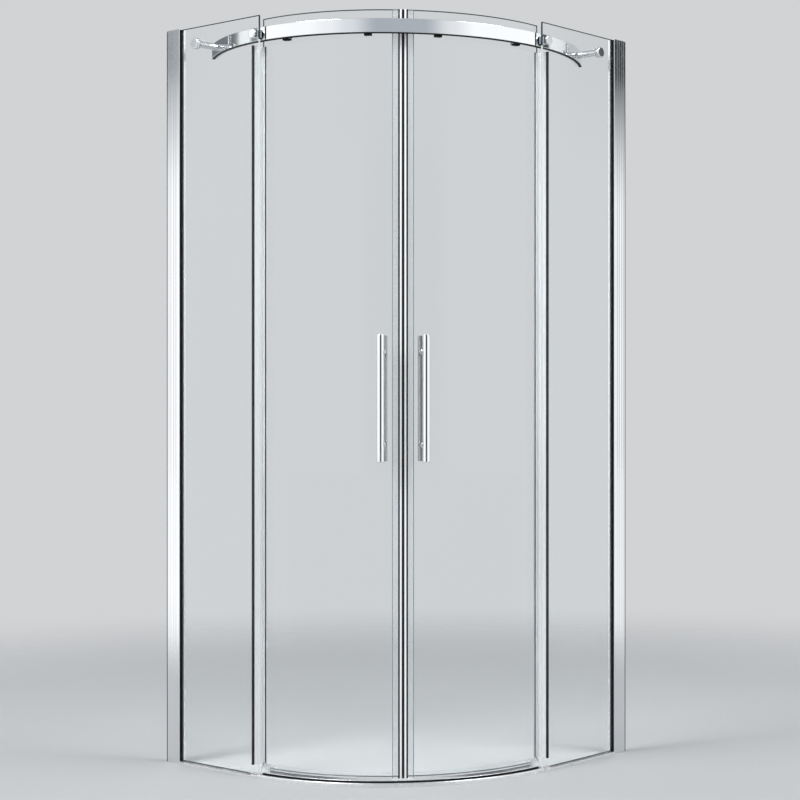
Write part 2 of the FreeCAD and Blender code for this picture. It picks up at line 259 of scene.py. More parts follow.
def makeSmearGroup():
    # water marks and finger smears: a soft mask between Low and High, broken up by finer specks
    group, put, out = newGroup(
        "waterMarks", {"Scale": 8.0, "Stretch": 0.35, "Low": 0.04, "High": 0.12}, "Value", "NodeSocketFloat")
    place, scale = addNode(group, "ShaderNodeTexCoord").outputs["Object"], put.outputs["Scale"]
    stretched = stretchedPlace(group, place, 1.0, put.outputs["Stretch"])
    broad = noiseMask(group, stretched, scale, smear["detail"], smear["roughness"])
    fine = noiseMask(group, place, calc(group, "MULTIPLY", scale, smear["fineTimes"]), smear["fineDetail"])
    mixed = calc(group, "MULTIPLY", broad, fine)
    ranged = mapRange(group, mixed, smear["least"], smear["most"], put.outputs["Low"], put.outputs["High"])
    group.links.new(ranged, out.inputs["Value"])
    return group


drawnLines = {"scale": 1.0, "detail": 2.0}


def makeDrawnGroup():
    # the faint lines that drawing and polishing leave along a bar: noise stretched along one axis
    group, put, out = newGroup("drawnLines", {"Across": 900.0, "Along": 4.0}, "Height", "NodeSocketFloat")
    place = addNode(group, "ShaderNodeTexCoord").outputs["Object"]
    stretched = stretchedPlace(group, place, put.outputs["Across"], put.outputs["Along"])
    height = noiseMask(group, stretched, drawnLines["scale"], drawnLines["detail"])
    group.links.new(height, out.inputs["Height"])
    return group


softTones = {"detail": 4.0}


def makeToneGroup():
    # two close tones mixed by soft noise, so that no finish is one flat colour
    group, put, out = newGroup(
        "softTones", {"Tone A": (0.8, 0.8, 0.8, 1), "Tone B": (0.7, 0.7, 0.7, 1), "Scale": 20.0},
        "Color", "NodeSocketColor")
    place = addNode(group, "ShaderNodeTexCoord").outputs["Object"]
    share = noiseMask(group, place, put.outputs["Scale"], softTones["detail"])
    mixed = mixTones(group, share, put.outputs["Tone A"], put.outputs["Tone B"])
    group.links.new(mixed, out.inputs["Color"])
    return group


smearGroup, drawnGroup, toneGroup = makeSmearGroup(), makeDrawnGroup(), makeToneGroup()


def useGroup(tree, group, values):
    node = tree.nodes.new("ShaderNodeGroup")
    node.node_tree = group
    for socket, value in values.items():
        node.inputs[socket].default_value = value
    return node


def useTones(tree, shader, toneA, toneB, scale):
    tones = useGroup(tree, toneGroup, {"Tone A": toneA + (1,), "Tone B": toneB + (1,), "Scale": scale})
    tree.links.new(tones.outputs["Color"], shader.inputs["Base Color"])


def newMaterial(name):
    material = bpy.data.materials.new(name)
    material.use_nodes = True
    return material, material.node_tree, nodeOf(material.node_tree, "BSDF_PRINCIPLED")


def mixClear(tree, share, shader, tint=(1, 1, 1)):
    # a share of the surface lets light straight through
    clear = addNode(tree, "ShaderNodeBsdfTransparent", {"Color": tint + (1,)})
    mix = addNode(tree, "ShaderNodeMixShader", {0: share, 1: shader.outputs[0], 2: clear.outputs[0]})
    tree.links.new(mix.outputs[0], nodeOf(tree, "OUTPUT_MATERIAL").inputs["Surface"])


def newFinish(name, spec):
    # one finish: tones, smears and drawn lines from the groups, plain numbers on the shader itself
    material, tree, shader = newMaterial(name)
    for socket, value in spec["plain"].items():
        shader.inputs[socket].default_value = value
    useTones(tree, shader, *spec["tones"], spec["toneScale"])
    marks = useGroup(tree, smearGroup, spec["marks"])
    tree.links.new(marks.outputs["Value"], shader.inputs["Roughness"])
    if "lines" in spec:
        lines = useGroup(tree, drawnGroup, {key: spec["lines"][key] for key in ("Across", "Along")})
        bump = addNode(tree, "ShaderNodeBump", {
            "Height": lines.outputs["Height"], "Strength": spec["lines"]["strength"],
            "Distance": spec["lines"]["depth"]})
        tree.links.new(bump.outputs["Normal"], shader.inputs["Normal"])
    if "lampsPass" in spec:         # lamps reach what is behind clear pieces
        path = addNode(tree, "ShaderNodeLightPath")
        mixClear(tree, path.outputs["Is Shadow Ray"], shader, spec["lampsPass"])
    return material


polished = {
    "toneScale": 5.0, "marks": {"Scale": 9.0, "Stretch": 0.3, "Low": 0.03, "High": 0.085},
    "lines": {"Across": 700.0, "Along": 3.0, "strength": 0.03, "depth": 0.0002}, "plain": {"Metallic": 1.0}}
groundEdge = {
    "toneScale": 14.0, "marks": {"Scale": 50.0, "Stretch": 0.3, "Low": 0.14, "High": 0.32},
    "plain": {"Metallic": 0.0, "IOR": 1.5, "Coat Weight": 0.3, "Coat Roughness": 0.1}}
finishes = {
    "chrome": {**polished, "tones": ((0.835, 0.845, 0.855), (0.76, 0.775, 0.79))},
    # painted shade: a darker copy of the chrome, used for the inner handle bars
    "shadedChrome": {**polished, "tones": ((0.58, 0.585, 0.595), (0.50, 0.505, 0.515))},
    "millAluminium": {
        "tones": ((0.66, 0.67, 0.685), (0.56, 0.57, 0.585)), "toneScale": 30.0,
        "marks": {"Scale": 40.0, "Stretch": 0.05, "Low": 0.28, "High": 0.45},
        "lines": {"Across": 1500.0, "Along": 6.0, "strength": 0.2, "depth": 0.0003},
        "plain": {"Metallic": 1.0}},
    "satinChrome": {
        "tones": ((0.90, 0.91, 0.92), (0.84, 0.85, 0.865)), "toneScale": 8.0,
        "marks": {"Scale": 30.0, "Stretch": 1.0, "Low": 0.20, "High": 0.32},
        "plain": {"Metallic": 1.0}},
    "steel": {
        "tones": ((0.60, 0.605, 0.615), (0.48, 0.485, 0.50)), "toneScale": 60.0,
        "marks": {"Scale": 60.0, "Stretch": 0.6, "Low": 0.18, "High": 0.34},
        "plain": {"Metallic": 1.0}},
    "glass": {
        "tones": ((0.962, 0.978, 0.976), (0.945, 0.965, 0.963)), "toneScale": 2.0,
        "marks": {"Scale": 3.0, "Stretch": 0.25, "Low": 0.0, "High": 0.012},
        "plain": {"Metallic": 0.0, "Transmission Weight": 1.0, "IOR": 1.19},
        "lampsPass": (0.93, 0.95, 0.95)},
    # painted shade: the glass edges take a near-black tone for the dark look light gives them; the green
    # tint is the glass's own
    "glassEdge": {**groundEdge, "tones": ((0.02, 0.036, 0.036), (0.010, 0.020, 0.021))},
    # painted: a pale edge tone standing in for the white seal seen through the fixed panes' door-side edge
    "glassRimPaintedSeal": {**groundEdge, "tones": ((0.74, 0.77, 0.77), (0.64, 0.675, 0.675))},
    "clearVinyl": {
        "tones": ((0.955, 0.965, 0.97), (0.915, 0.93, 0.94)), "toneScale": 9.0,
        "marks": {"Scale": 20.0, "Stretch": 0.08, "Low": 0.03, "High": 0.09},
        "lines": {"Across": 500.0, "Along": 2.0, "strength": 0.03, "depth": 0.0002},
        "plain": {"Metallic": 0.0, "Transmission Weight": 0.94, "IOR": 1.4},
        "lampsPass": (0.90, 0.92, 0.93)},
    "milkVinyl": {
        "tones": ((0.96, 0.965, 0.97), (0.92, 0.93, 0.94)), "toneScale": 12.0,
        "marks": {"Scale": 20.0, "Stretch": 0.08, "Low": 0.08, "High": 0.18},
        "plain": {"Metallic": 0.0, "Transmission Weight": 0.5, "IOR": 1.42},
        "lampsPass": (0.74, 0.76, 0.77)},
    "greyVinyl": {
        "tones": ((0.36, 0.375, 0.39), (0.28, 0.295, 0.31)), "toneScale": 15.0,
        "marks": {"Scale": 25.0, "Stretch": 0.08, "Low": 0.14, "High": 0.28},
        "plain": {"Metallic": 0.0, "Transmission Weight": 0.35, "IOR": 1.45},
        "lampsPass": (0.5, 0.52, 0.54)},
    "whiteVinyl": {
        "tones": ((0.93, 0.935, 0.94), (0.87, 0.88, 0.89)), "toneScale": 12.0,
        "marks": {"Scale": 25.0, "Stretch": 0.08, "Low": 0.16, "High": 0.32},
        "lines": {"Across": 600.0, "Along": 2.0, "strength": 0.08, "depth": 0.0003},
        "plain": {"Metallic": 0.0, "IOR": 1.48, "Subsurface Weight": 0.1, "Subsurface Scale": 0.002}},
    "magnet": {
        "tones": ((0.004, 0.0042, 0.0046), (0.010, 0.0105, 0.0115)), "toneScale": 40.0,
        "marks": {"Scale": 60.0, "Stretch": 0.1, "Low": 0.42, "High": 0.65},
        "lines": {"Across": 900.0, "Along": 2.0, "strength": 0.2, "depth": 0.0004},
        "plain": {"Metallic": 0.0, "IOR": 1.5, "Specular IOR Level": 0.08}},
    "nylon": {
        "tones": ((0.78, 0.79, 0.79), (0.68, 0.69, 0.70)), "toneScale": 45.0,
        "marks": {"Scale": 80.0, "Stretch": 1.0, "Low": 0.28, "High": 0.46},
        "plain": {"Metallic": 0.0, "IOR": 1.5, "Subsurface Weight": 0.15, "Subsurface Scale": 0.002}},
    "clearNylon": {
        "tones": ((0.93, 0.94, 0.945), (0.87, 0.885, 0.89)), "toneScale": 45.0,
        "marks": {"Scale": 80.0, "Stretch": 1.0, "Low": 0.10, "High": 0.22},
        "plain": {"Metallic": 0.0, "Transmission Weight": 0.8, "IOR": 1.4},
        "lampsPass": (0.75, 0.77, 0.78)},
    "greyRubber": {
        "tones": ((0.46, 0.47, 0.48), (0.38, 0.39, 0.40)), "toneScale": 60.0,
        "marks": {"Scale": 90.0, "Stretch": 0.2, "Low": 0.45, "High": 0.7},
        "plain": {"Metallic": 0.0, "IOR": 1.5, "Specular IOR Level": 0.15}},
    "rubber": {
        "tones": ((0.005, 0.005, 0.0055), (0.014, 0.014, 0.015)), "toneScale": 60.0,
        "marks": {"Scale": 90.0, "Stretch": 0.2, "Low": 0.5, "High": 0.75},
        "plain": {"Metallic": 0.0, "IOR": 1.5, "Specular IOR Level": 0.08}},
}
finish = {name: newFinish(name, spec) for name, spec in finishes.items()}
print("finishes made:", len(finish))


# Geometry Nodes: a section bent along an arc, and small parts set on points

def newTree(name, inputs):
    tree = bpy.data.node_groups.new(name, "GeometryNodeTree")
    tree.interface.new_socket(name="Geometry", in_out="INPUT", socket_type="NodeSocketGeometry")
    sockets = {}
    for label, kind in inputs:
        sockets[label] = tree.interface.new_socket(name=label, in_out="INPUT", socket_type=kind).identifier
    tree.interface.new_socket(name="Geometry", in_out="OUTPUT", socket_type="NodeSocketGeometry")
    return tree, sockets, tree.nodes.new("NodeGroupInput"), tree.nodes.new("NodeGroupOutput")


def endTree(tree, shape, put, out):
    real = addNode(tree, "GeometryNodeRealizeInstances", {0: shape.outputs[0]})
    dressed = addNode(tree, "GeometryNodeSetMaterial", {
        0: real.outputs[0], "Material": put.outputs["Finish"]})
    tree.links.new(dressed.outputs[0], out.inputs[0])


def makeBendTree():
    tree, sockets, put, out = newTree("bentSection", [
        ("Radius", "NodeSocketFloat"), ("Start", "NodeSocketFloat"), ("Sweep", "NodeSocketFloat"),
        ("Steps", "NodeSocketInt"), ("Centre", "NodeSocketVector"), ("Finish", "NodeSocketMaterial")])
    section = addNode(tree, "GeometryNodeMeshToCurve", {0: put.outputs["Geometry"]})
    arc = addNode(tree, "GeometryNodeCurveArc", {
        "Resolution": put.outputs["Steps"], "Radius": put.outputs["Radius"],
        "Start Angle": put.outputs["Start"], "Sweep Angle": put.outputs["Sweep"]})
    upright = addNode(tree, "GeometryNodeSetCurveNormal", {0: arc.outputs["Curve"]})
    upright.mode = "Z_UP"
    swept = addNode(tree, "GeometryNodeCurveToMesh", {
        "Curve": upright.outputs[0], "Profile Curve": section.outputs[0], "Fill Caps": True})
    moved = addNode(tree, "GeometryNodeTransform", {
        "Geometry": swept.outputs[0], "Translation": put.outputs["Centre"]})
    endTree(tree, moved, put, out)
    return tree, sockets


def makeSpreadTree():
    tree, sockets, put, out = newTree("spreadParts", [
        ("Part", "NodeSocketObject"), ("Size", "NodeSocketFloat"), ("Finish", "NodeSocketMaterial")])
    aim = addNode(tree, "GeometryNodeInputNamedAttribute", {"Name": "aim"})
    aim.data_type = "FLOAT_VECTOR"
    turned = addNode(tree, "FunctionNodeAlignRotationToVector", {"Vector": aim.outputs[0]})
    turned.axis = "Z"
    part = addNode(tree, "GeometryNodeObjectInfo", {"Object": put.outputs["Part"], "As Instance": True})
    copies = addNode(tree, "GeometryNodeInstanceOnPoints", {
        "Points": put.outputs["Geometry"], "Instance": part.outputs["Geometry"],
        "Rotation": turned.outputs[0], "Scale": put.outputs["Size"]})
    endTree(tree, copies, put, out)
    return tree, sockets


bendTree, bendSockets = makeBendTree()
spreadTree, spreadSockets = makeSpreadTree()


def grownMesh(name, baseMesh, tree, sockets, values):
    # runs a tree on a base mesh and keeps the result as a plain mesh
    base = addObject(name + "Base", baseMesh)
    modifier = base.modifiers.new("shape", "NODES")
    modifier.node_group = tree
    for label, value in values.items():
        modifier[sockets[label]] = value
    bpy.context.view_layer.update()
    grown = bpy.data.meshes.new_from_object(base.evaluated_get(bpy.context.evaluated_depsgraph_get()))
    grown.name = name
    base.modifiers.clear()
    bpy.data.objects.remove(base)
    bm = bmesh.new()
    bm.from_mesh(grown)
    bmesh.ops.remove_doubles(bm, verts=bm.verts, dist=meshing["weld"])
    bmesh.ops.recalc_face_normals(bm, faces=bm.faces)
    bm.to_mesh(grown)
    bm.free()
    return smoothMesh(grown)


def bentMesh(name, section, side, start, end, material, steps):
    # section is a closed loop of (radius, height); the angles run from the diagonal towards the side
    section = supported(section, True)
    middle = sum(p[0] for p in section) / len(section)
    outline = bpy.data.meshes.new(name + "Section")
    count = len(section)
    edges = [(k, (k + 1) % count) for k in range(count)]
    outline.from_pydata([(p[0] - middle, -p[1], 0) for p in section], edges, [])
    low, high = sorted((bearing(side, start), bearing(side, end)))
    return grownMesh(name, outline, bendTree, bendSockets, {
        "Radius": middle, "Start": low, "Sweep": high - low, "Steps": steps,
        "Centre": arcCentre, "Finish": material})


def spreadMesh(name, partMesh, places, material):
    # places is a list of (point, direction that the part's Z takes)
    points = bpy.data.meshes.new(name + "Points")
    points.from_pydata([tuple(place) for place, way in places], [], [])
    aim = points.attributes.new("aim", "FLOAT_VECTOR", "POINT")
    for k, (place, way) in enumerate(places):
        aim.data[k].vector = way
    part = addObject(name + "Part", partMesh)
    values = {"Part": part, "Size": 1.0, "Finish": material}
    grown = grownMesh(name, points, spreadTree, spreadSockets, values)
    bpy.data.objects.remove(part)
    return grown


def spreadPiece(name, partMesh, places, label, body, stands=()):
    addPiece(name, spreadMesh(name, partMesh, places, finish[label]), body, stands)


def straightMesh(name, section, low, high, material):
    # pulls a closed loop of (x, y) from low to high
    section = supported(section, True)
    bm = bmesh.new()
    rings = [[bm.verts.new((p[0], p[1], z)) for p in section] for z in (low, high)]
    count = len(section)
    for k in range(count):
        n = (k + 1) % count
        bm.faces.new((rings[0][k], rings[0][n], rings[1][n], rings[1][k]))
    bm.faces.new(list(reversed(rings[0])))
    bm.faces.new(rings[1])
    bmesh.ops.recalc_face_normals(bm, faces=bm.faces)
    mesh = keepMesh(bm, name)
    mesh.materials.append(material)
    return smoothMesh(mesh)


# CAD nodes that keep their shape: a finish, and a fine bevel where light catches the edges

kept = {
    "millAluminium": {"nodes": ("wall_channel",), "bevel": 0.0},
    "chrome": {"nodes": ("profile_cap", "rail_end_cap"), "bevel": 0.0005},
    "greyRubber": {"nodes": ("glass_gasket",), "bevel": 0.0004},
    "clearVinyl": {"nodes": ("base_seal", "drip_seal"), "bevel": 0.0},
    "magnet": {"nodes": ("magnet_strip",), "bevel": 0.0003},
    "clearNylon": {"nodes": ("bottom_guide",), "bevel": 0.0008},
    "steel": {"nodes": ("roller_hangers",), "bevel": 0.0005},
}
keptSingle = {"rubber": ("rail_stops",), "chrome": ("standoff_rods", "edge_spacers")}
softEdge = {"weld": 0.00001, "segments": 2, "angle": 40}


def dressNode(name, material, bevel):
    obj = nodes[name]
    obj.data.materials.clear()
    obj.data.materials.append(material)
    if bevel:
        weld = obj.modifiers.new("joinCorners", "WELD")
        weld.merge_threshold = softEdge["weld"]
        edge = obj.modifiers.new("softEdge", "BEVEL")
        edge.width, edge.segments = bevel, softEdge["segments"]
        edge.limit_method, edge.angle_limit = "ANGLE", math.radians(softEdge["angle"])


for label, spec in kept.items():
    for name in spec["nodes"]:
        for side in sides:
            dressNode(side + "_" + name, finish[label], spec["bevel"])
for label, names in keptSingle.items():
    for name in names:
        dressNode(name, finish[label], 0.0)
print("CAD nodes dressed")


# Glass panes

pane = {
    "arris": 0.0023, "play": 0.00004, "doorInner": 0.489, "doorOuter": 0.495, "steps": 97,
    "sharpAngle": 20, "flatFacing": 0.75, "rimFacing": 0.6, "rimTop": 1.936,
}
doorMiddle = (pane["doorInner"] + pane["doorOuter"]) / 2
# degrees from the diagonal
doorAngles = {"meet": 1.2577, "end": 47.563, "handle": 6.289, "inner": 10.248, "outer": 36.267}


def splitEdges(mesh, wayOut):
    # the ground edges get their own finish, a near-black painted shade: every face that doesn't look along
    # the pane's normal
    mesh.materials.clear()
    mesh.materials.append(finish["glass"])
    mesh.materials.append(finish["glassEdge"])
    for face in mesh.polygons:
        flat = abs(face.normal.dot(wayOut(face.center))) > pane["flatFacing"]
        face.material_index = 0 if flat else 1


def fixedPane(side):
    low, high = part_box("left_fixed_glass")
    low.y, high.y = low.y + pane["play"], high.y - pane["play"]
    bm = bmesh.new()
    place = Matrix.Translation((low + high) / 2) @ Matrix.Diagonal((high - low).to_4d())
    bmesh.ops.create_cube(bm, size=1.0, matrix=place)
    bmesh.ops.bevel(bm, geom=list(bm.edges), offset=pane["arris"], segments=1, affect="EDGES", profile=0.5)
    everything = list(bm.verts) + list(bm.edges) + list(bm.faces)
    bmesh.ops.bisect_plane(bm, geom=everything, plane_co=(0, 0, pane["rimTop"]), plane_no=upWay)
    mesh = smoothMesh(keepMesh(bm, side + "FixedPane"), pane["sharpAngle"])
    splitEdges(mesh, lambda p: Vector((0, 1, 0)))
    mesh.materials.append(finish["glassRimPaintedSeal"])
    for face in mesh.polygons:
        if face.normal.x > pane["rimFacing"] and face.center.z < pane["rimTop"]:
            face.material_index = 2     # painted: the pale tone stands in for the door's white seal seen through this edge
    if side == "right":
        mesh.transform(swapHalves)
        mesh.flip_normals()
    addPiece(side + "FixedPane", mesh, "enclosure_frame", [side + "_fixed_glass"])


def doorPane(side):
    low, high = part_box("left_door_glass")
    section = rectangle(pane["doorInner"], pane["doorOuter"], low.z, high.z)
    section = roundLoop(section, [pane["arris"]] * len(section), 1)
    start, end = doorAngles["meet"], doorAngles["end"]
    mesh = bentMesh(side + "DoorPane", section, side, start, end, finish["glass"], pane["steps"])
    splitEdges(mesh, lambda p: Vector((p.x - arcCentre.x, p.y - arcCentre.y, 0)).normalized())
    addPiece(side + "DoorPane", mesh, side + "_door", [side + "_door_glass"])


for side in sides:
    fixedPane(side)
    doorPane(side)
print("glass panes made")


# Door seals: a white holder or fin, and clear or milky legs that grip the glass

seal = {
    "legT": 0.00115, "seat": 0.00005, "half": 0.005, "beadUp": 0.0007,
    "legSteps": 6, "holderSteps": 4, "stripSteps": 3,
    "meetStart": 0.0034, "buffer": 0.0083, "lap": 0.0016, "meetEnd": 0.0108, "meetGrip": 0.017,
    "bead": 0.0015, "edgeGrip": 0.012, "edgeBead": 0.0022,
    "finT": 0.0014, "finTip": 0.52295, "lipHalf": 0.0018, "lipLength": 0.0065,
}


def arcAngle(length):
    return math.degrees(length / doorMiddle)


def makeSeals(side):
    def strip(name, r0, r1, heights, start, end, label, steps=seal["stripSteps"]):
        return bentMesh(name, rectangle(r0, r1, *heights), side, start, end, finish[label], steps)

    body, end, legSteps = side + "_door", doorAngles["end"], seal["legSteps"]
    outer, inner = pane["doorOuter"] + seal["seat"], pane["doorInner"] - seal["seat"]
    meetZ = [corner.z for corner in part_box(side + "_meeting_seal")]
    edgeZ = [corner.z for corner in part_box(side + "_edge_seal")]
    grip, legT, beadT = seal["meetEnd"] + seal["meetGrip"], seal["legT"], seal["legT"] + seal["beadUp"]
    start, buffer = arcAngle(seal["meetStart"]), arcAngle(seal["buffer"])
    glassEdge, root = arcAngle(seal["meetEnd"] - seal["seat"]), arcAngle(seal["meetEnd"] + seal["lap"])
    neck, tip = arcAngle(grip - seal["bead"]), arcAngle(grip)
    edgeNeck = end - arcAngle(seal["edgeGrip"] - seal["edgeBead"])
    edgeTip = end - arcAngle(seal["edgeGrip"])
    legs, edgeLegs, beads, laps = [], [], [], []
    for face, way in ((outer, 1), (inner, -1)):
        legFace, beadFace = face + way * legT, face + way * beadT
        legs.append(strip("leg", face, legFace, meetZ, root, neck, "clearVinyl", legSteps))
        edgeLegs.append(strip("leg", face, legFace, edgeZ, end, edgeNeck, "milkVinyl", legSteps))
        beads.append(strip("bead", face, beadFace, meetZ, neck, tip, "greyVinyl"))
        laps.append(strip("lap", face, legFace, meetZ, glassEdge, root, "magnet"))
    edgeBead = strip("bead", outer, outer + beadT, edgeZ, edgeNeck, edgeTip, "magnet")
    joinPiece(side + "SealLegs", legs, body)
    joinPiece(side + "EdgeLegs", edgeLegs, body)
    joinPiece(side + "MeetingBeads", beads, body)
    joinPiece(side + "EdgeBead", [edgeBead], body)
    name, low, high = side + "MeetingHolder", doorMiddle - seal["half"], doorMiddle + seal["half"]
    holder = strip(name, low, high, meetZ, start, buffer, "whiteVinyl", seal["holderSteps"])
    addPiece(name, holder, body, [side + "_meeting_seal"])
    # a black strip between the holder and the glass, with black laps over the glass edge: part rubber
    # buffer, part painted shade of the gap at the seam
    core = strip("buffer", low, high, meetZ, buffer, glassEdge, "magnet")
    joinPiece(side + "MeetingBuffer", [core] + laps, body)
    name, finEnd = side + "EdgeFin", end + arcAngle(seal["finT"])
    fin = strip(name, inner - legT, seal["finTip"], edgeZ, end, finEnd, "whiteVinyl")
    addPiece(name, fin, body, [side + "_edge_seal"])
    name, low = side + "EdgeLip", seal["finTip"] + seal["seat"]
    at, half = end + arcAngle(seal["finT"] / 2), arcAngle(seal["lipHalf"])
    lip = strip(name, low, low + seal["lipLength"], edgeZ, at - half, at + half, "rubber")
    addPiece(name, lip, body, [side + "_edge_lip"])


for side in sides:
    makeSeals(side)
print("door seals made")


# Rail and sill, bent along the arc

rail = {
    "outer": 0.524, "depth": 0.018, "web": 0.0025, "flange": 0.003, "lip": 0.0025,
    "topLip": 0.006, "lowLip": 0.0025, "end": 79.0, "steps": 181,
    "round": 0.0011, "lipRound": 0.00077, "roundSteps": 3,
    "stripIn": 0.0085, "stripOut": 0.0006, "stripT": 0.0023, "stripRound": 0.00055, "stripRoundSteps": 2,
}


def makeRail():
    low, high = (corner.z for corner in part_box("top_rail"))
    out, back, end, steps = rail["outer"], rail["outer"] - rail["depth"], rail["end"], rail["steps"]
    web, lip = out - rail["web"], back + rail["lip"]
    track, roof = low + rail["flange"], high - rail["flange"]
    roofLip, trackLip = roof - rail["topLip"], track + rail["lowLip"]
    r, s = rail["round"], rail["lipRound"]
    section = roundCorners([
        (back, low, r), (out, low, r), (out, high, r), (back, high, r),
        (back, roofLip, s), (lip, roofLip, s), (lip, roof, 0), (web, roof, 0),
        (web, track, 0), (lip, track, 0), (lip, trackLip, s), (back, trackLip, s)], rail["roundSteps"])
    mesh = bentMesh("topRail", section, "left", -end, end, finish["chrome"], steps)
    addPiece("topRail", mesh, "enclosure_frame", ["top_rail"])
    # painted shade: a thin black strip under the rail stands in for the dark line of shade along its
    # underside
    under, t = low - pane["play"], rail["stripRound"]
    strip = rectangle(out - rail["stripIn"], out - rail["stripOut"], under - rail["stripT"], under)
    strip = roundLoop(strip, [t, t, 0, 0], rail["stripRoundSteps"])
    mesh = bentMesh("railStrip", strip, "left", -end, end, finish["rubber"], steps)
    addPiece("railStrip", mesh, "enclosure_frame")


sill = {
    "outer": 0.547, "width": 0.023, "floor": 0.002, "noseW": 0.006, "noseH": 0.010,
    "upstandT": 0.002, "upstandH": 0.013, "end": 43.6, "steps": 141,
    "noseRound": 0.00192, "noseBackRound": 0.00144, "upstandRound": 0.00072, "roundSteps": 4,
    "stripT": 0.0016, "stripTrim": 0.0016,
}


def makeSill():
    out, back, end, steps = sill["outer"], sill["outer"] - sill["width"], sill["end"], sill["steps"]
    nose, stand, floor = out - sill["noseW"], back + sill["upstandT"], sill["floor"]
    top, noseTop, u = sill["upstandH"], sill["noseH"], sill["upstandRound"]
    section = roundCorners([
        (back, 0, 0), (out, 0, 0), (out, noseTop, sill["noseRound"]),
        (nose, noseTop, sill["noseBackRound"]), (nose, floor, 0), (stand, floor, 0),
        (stand, top, u), (back, top, u)], sill["roundSteps"])
    mesh = bentMesh("floorSill", section, "left", -end, end, finish["satinChrome"], steps)
    addPiece("floorSill", mesh, "enclosure_frame", ["bottom_sill"])
    # painted shade: a thin black strip on the upstand's front stands in for the shade inside the sill's
    # channel
    strip = rectangle(
        stand + pane["play"], stand + sill["stripT"], floor + pane["play"], top - sill["stripTrim"])
    mesh = bentMesh("sillStrip", strip, "left", -end, end, finish["rubber"], steps)
    addPiece("sillStrip", mesh, "enclosure_frame")


makeRail()
makeSill()
print("rail and sill made")


# Wall profiles

profile = {
    "width": 0.052, "wallGap": 0.001, "half": 0.012, "wall": 0.002, "web": 0.027, "lip": 0.003,
    "slot": 0.0054, "round": 0.0013, "lipRound": 0.00052, "slotRound": 0.00065, "roundSteps": 4,
    "groove": 0.0006, "grooves": (0.0365, 0.0275, 0.0155, 0.0075), "endFacing": 0.95,
    "show": 0.00085, "nose": 0.0017, "noseBack": 0.00078, "noseTip": 0.0004, "noseRound": 0.0006,
    "noseSteps": 3,
}


def makeProfile(side):
    low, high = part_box("left_glass_profile")
    wallX, midY = low.x - profile["wallGap"], (low.y + high.y) / 2
    half, web, width, slot = profile["half"], profile["web"], profile["width"], profile["slot"]
    inner, webEnd, lip = half - profile["wall"], web + profile["wall"], width - profile["lip"]
    r, g, gap = profile["round"], profile["groove"], profile["wallGap"]
    grooves = [
        corner for at in profile["grooves"]
        for corner in ((at + 2 * g, half, 0), (at + g, half - g, 0), (at, half, 0))]
    upper = [       # (distance from the wall, distance from the middle of the glass, rounding)
        (webEnd, inner, 0), (lip, inner, 0), (lip, slot, profile["lipRound"]),
        (width, slot, profile["slotRound"]), (width, half, r), *grooves,
        (gap, half, r), (gap, inner, 0), (web, inner, 0)]
    loop = upper + [(u, -v, c) for u, v, c in reversed(upper)]
    section = roundCorners([(wallX + u, midY + v, c) for u, v, c in loop], profile["roundSteps"])
    mesh = straightMesh(side + "WallProfile", sideLoop(side, section), low.z, high.z, finish["chrome"])
    mesh.materials.append(finish["satinChrome"])
    endWay = Vector((1, 0, 0)) if side == "left" else Vector((0, -1, 0))
    for face in mesh.polygons:
        if face.normal.dot(endWay) > profile["endFacing"]:
            face.material_index = 1     # the lips' narrow ends
    addPiece(side + "WallProfile", mesh, "enclosure_frame", [side + "_glass_profile"])
    # the gasket's black outer flap, over the front lip; its black also paints the shade on the lip's end
    glassLow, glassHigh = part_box("left_fixed_glass")
    face = (glassHigh.y - glassLow.y) / 2
    lipEnd, slotEnd = width + pane["play"], slot + pane["play"]
    gasketEnd, end = width + profile["show"], width + profile["nose"]
    flap = [
        (lipEnd, slotEnd, 0), (gasketEnd, slotEnd, 0), (gasketEnd, face, 0), (end, face, profile["noseTip"]),
        (end, half - r, profile["noseRound"]), (lipEnd, half - profile["noseBack"], 0)]
    nose = roundCorners([(wallX + u, midY - v, c) for u, v, c in flap], profile["noseSteps"])
    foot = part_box("left_base_seal")[1].z + pane["play"]
    mesh = straightMesh(side + "GasketNose", sideLoop(side, nose), foot, high.z, finish["rubber"])
    addPiece(side + "GasketNose", mesh, "enclosure_frame")


screw = {
    "headR": 0.0052, "headH": 0.0026, "slotR": 0.0016, "slotFootR": 0.00128, "slotDeep": 0.0012,
    "shankR": 0.0028, "back": 0.0019, "inset": 0.200, "web": 0.0021, "steps": 40,
    "headShares": ((1, 0), (1, 0.35), (0.9, 0.7), (0.62, 0.95)),    # of the head's radius and height
}


def makeWallScrews():
    # pan heads in the channel's holes; each fills its hole
    low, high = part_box("left_wall_channel")
    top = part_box("left_fixed_glass")[1].z
    h, r, slotFoot = screw["headH"], screw["headR"], screw["headH"] - screw["slotDeep"]
    outline = [(0, -screw["back"]), (screw["shankR"], -screw["back"]), (screw["shankR"], 0)]
    outline += [(r * across, h * up) for across, up in screw["headShares"]]
    outline += [(screw["slotR"], h), (screw["slotFootR"], slotFoot), (0, slotFoot)]
    middle = (low.y + high.y) / 2
    spots = [Vector((low.x + screw["web"], middle, z)) for z in (screw["inset"], top - screw["inset"])]
    way = Vector((1, 0, 0))
    places = [(spot, way) for spot in spots] + [(mirrored(spot), mirrored(way)) for spot in spots]
    head = turnedMesh("screw", outline, screw["steps"])
    spreadPiece("wallScrews", head, places, "steel", "enclosure_frame")


tapeAndShade = {"seat": 0.00002, "depth": 0.00095, "half": 0.0127, "innerHalf": 0.0102}


